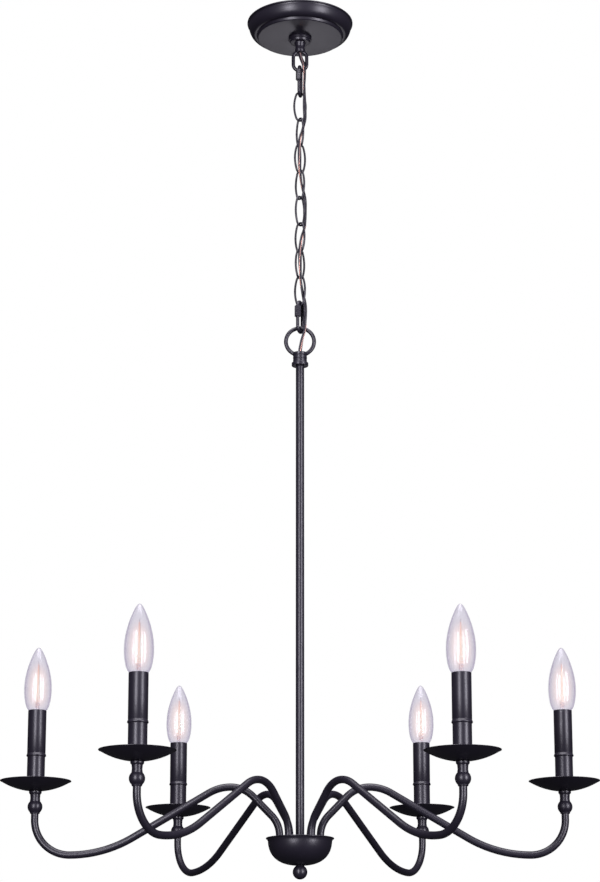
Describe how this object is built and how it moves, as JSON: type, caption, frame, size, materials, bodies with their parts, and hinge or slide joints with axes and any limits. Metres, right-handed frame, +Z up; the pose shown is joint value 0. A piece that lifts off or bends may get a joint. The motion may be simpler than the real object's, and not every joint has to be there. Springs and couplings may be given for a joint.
{
  "type": "multi arm chandelier",
  "caption": "Candle chandelier: S-curved arms with drip pans and candle lamps on a hub cup, hung from a rod, ring, quick links, chain and ceiling canopy.",
  "frame": {"origin": "centre of the ceiling plane, on the top face of the mounting strap", "axes": "+Z up, the fixture hangs in -Z; +X from the stem through arm 1; -Y is the front"},
  "size_m": [0.762, 0.6587, 1.1658],
  "materials": {
    "black_satin": "satin black powder coat",
    "zinc_steel": "zinc-plated steel",
    "green_screw": "green passivated steel",
    "socket_plastic": "moulded phenolic",
    "socket_brass": "drawn brass",
    "wire_jacket": "soft insulated leads",
    "cord_jacket": "dark flat cord with a clear-jacketed copper earth wire",
    "bulb_glass": "clear blown glass"
  },
  "bodies": {
    "ceiling_mount": {"strap": "zinc_steel", "strap_nut": "zinc_steel", "ground_screw": "green_screw", "nipple": "zinc_steel", "canopy_loop": "black_satin", "supply_cord": "cord_jacket"},
    "canopy": {"canopy": "black_satin", "collar_nut": "black_satin"},
    "top_link": {"top_link": "black_satin"},
    "top_link_nut": {"top_link_nut": "black_satin"},
    "chain_link_1": {"chain_link_1": "black_satin"},
    "chain_link_2": {"chain_link_2": "black_satin"},
    "chain_link_3": {"chain_link_3": "black_satin"},
    "chain_link_4": {"chain_link_4": "black_satin"},
    "chain_link_5": {"chain_link_5": "black_satin"},
    "chain_link_6": {"chain_link_6": "black_satin"},
    "chain_link_7": {"chain_link_7": "black_satin"},
    "chain_link_8": {"chain_link_8": "black_satin"},
    "bottom_link": {"bottom_link": "black_satin"},
    "bottom_link_nut": {"bottom_link_nut": "black_satin"},
    "frame": {"hanging_ring": "black_satin", "ring_collar": "black_satin", "stem": "black_satin", "hub_cup": "black_satin", "arm_plate": "zinc_steel", "hub_nuts": "zinc_steel", "arm_nuts": "zinc_steel", "finial": "black_satin", "arm_1": "black_satin", "arm_2": "black_satin", "arm_3": "black_satin", "arm_4": "black_satin", "arm_5": "black_satin", "arm_6": "black_satin", "arm_wires": "wire_jacket", "knuckles": "black_satin", "pan_1": "black_satin", "pan_2": "black_satin", "pan_3": "black_satin", "pan_4": "black_satin", "pan_5": "black_satin", "pan_6": "black_satin", "sleeve_1": "black_satin", "sleeve_2": "black_satin", "sleeve_3": "black_satin", "sleeve_4": "black_satin", "sleeve_5": "black_satin", "sleeve_6": "black_satin", "socket_nipples": "zinc_steel", "sockets": "socket_plastic", "socket_shells": "socket_brass"},
    "bulb_1": {"bulb_1": "bulb_glass"},
    "bulb_2": {"bulb_2": "bulb_glass"},
    "bulb_3": {"bulb_3": "bulb_glass"},
    "bulb_4": {"bulb_4": "bulb_glass"},
    "bulb_5": {"bulb_5": "bulb_glass"},
    "bulb_6": {"bulb_6": "bulb_glass"}
  },
  "joints": [
    {"name": "top_link_swing", "type": "hinge", "parent": "ceiling_mount", "child": "top_link", "pos_m": [0, 0, -0.0696], "axis": [1, 0, 0], "range_deg": [-20, 20], "deforming": ["supply_cord"]},
    {"name": "chain_link_1_swing", "type": "hinge", "parent": "top_link", "child": "chain_link_1", "pos_m": [0, 0, -0.106], "axis": [0.1736, 0.9848, 0], "range_deg": [-20, 20]},
    {"name": "chain_link_2_swing", "type": "hinge", "parent": "chain_link_1", "child": "chain_link_2", "pos_m": [0, 0, -0.1427], "axis": [-0.9781, -0.2079, 0], "range_deg": [-20, 20]},
    {"name": "chain_link_3_swing", "type": "hinge", "parent": "chain_link_2", "child": "chain_link_3", "pos_m": [0, 0, -0.1803], "axis": [0.5592, -0.829, 0], "range_deg": [-20, 20]},
    {"name": "chain_link_4_swing", "type": "hinge", "parent": "chain_link_3", "child": "chain_link_4", "pos_m": [0, 0, -0.2179], "axis": [0.848, 0.5299, 0], "range_deg": [-20, 20]},
    {"name": "chain_link_5_swing", "type": "hinge", "parent": "chain_link_4", "child": "chain_link_5", "pos_m": [0, 0, -0.2555], "axis": [-0.7071, 0.7071, 0], "range_deg": [-20, 20]},
    {"name": "chain_link_6_swing", "type": "hinge", "parent": "chain_link_5", "child": "chain_link_6", "pos_m": [0, 0, -0.2931], "axis": [-0.7071, -0.7071, 0], "range_deg": [-20, 20]},
    {"name": "chain_link_7_swing", "type": "hinge", "parent": "chain_link_6", "child": "chain_link_7", "pos_m": [0, 0, -0.3307], "axis": [0.7547, -0.6561, 0], "range_deg": [-20, 20]},
    {"name": "chain_link_8_swing", "type": "hinge", "parent": "chain_link_7", "child": "chain_link_8", "pos_m": [0, 0, -0.3683], "axis": [0.7071, 0.7071, 0], "range_deg": [-20, 20]},
    {"name": "bottom_link_swing", "type": "hinge", "parent": "chain_link_8", "child": "bottom_link", "pos_m": [0, 0, -0.4059], "axis": [-0.829, 0.5592, 0], "range_deg": [-20, 20]},
    {"name": "frame_swing", "type": "hinge", "parent": "bottom_link", "child": "frame", "pos_m": [0, 0, -0.4433], "axis": [-0.4226, -0.9063, 0], "range_deg": [-20, 20]},
    {"name": "canopy_drop", "type": "slide", "parent": "ceiling_mount", "child": "canopy", "axis": [0, 0, -1], "range_m": [0, 0.025]},
    {"name": "top_link_nut_slide", "type": "slide", "parent": "top_link", "child": "top_link_nut", "axis": [0, 0, -1], "range_m": [0, 0.012]},
    {"name": "bottom_link_nut_slide", "type": "slide", "parent": "bottom_link", "child": "bottom_link_nut", "axis": [0, 0, -1], "range_m": [0, 0.012]},
    {"name": "bulb_1_turn", "type": "hinge", "parent": "frame", "child": "bulb_1", "pos_m": [0.3357, 0, -0.98], "axis": [0, 0, 1], "range_deg": [0, 1440]},
    {"name": "bulb_2_turn", "type": "hinge", "parent": "frame", "child": "bulb_2", "pos_m": [0.16988, 0.28955, -0.98], "axis": [0, 0, 1], "range_deg": [0, 1440]},
    {"name": "bulb_3_turn", "type": "hinge", "parent": "frame", "child": "bulb_3", "pos_m": [-0.16988, 0.28955, -0.98], "axis": [0, 0, 1], "range_deg": [0, 1440]},
    {"name": "bulb_4_turn", "type": "hinge", "parent": "frame", "child": "bulb_4", "pos_m": [-0.3357, 0, -0.98], "axis": [0, 0, 1], "range_deg": [0, 1440]},
    {"name": "bulb_5_turn", "type": "hinge", "parent": "frame", "child": "bulb_5", "pos_m": [-0.18724, -0.27864, -0.98], "axis": [0, 0, 1], "range_deg": [0, 1440]},
    {"name": "bulb_6_turn", "type": "hinge", "parent": "frame", "child": "bulb_6", "pos_m": [0.18724, -0.27864, -0.98], "axis": [0, 0, 1], "range_deg": [0, 1440]}
  ]
}
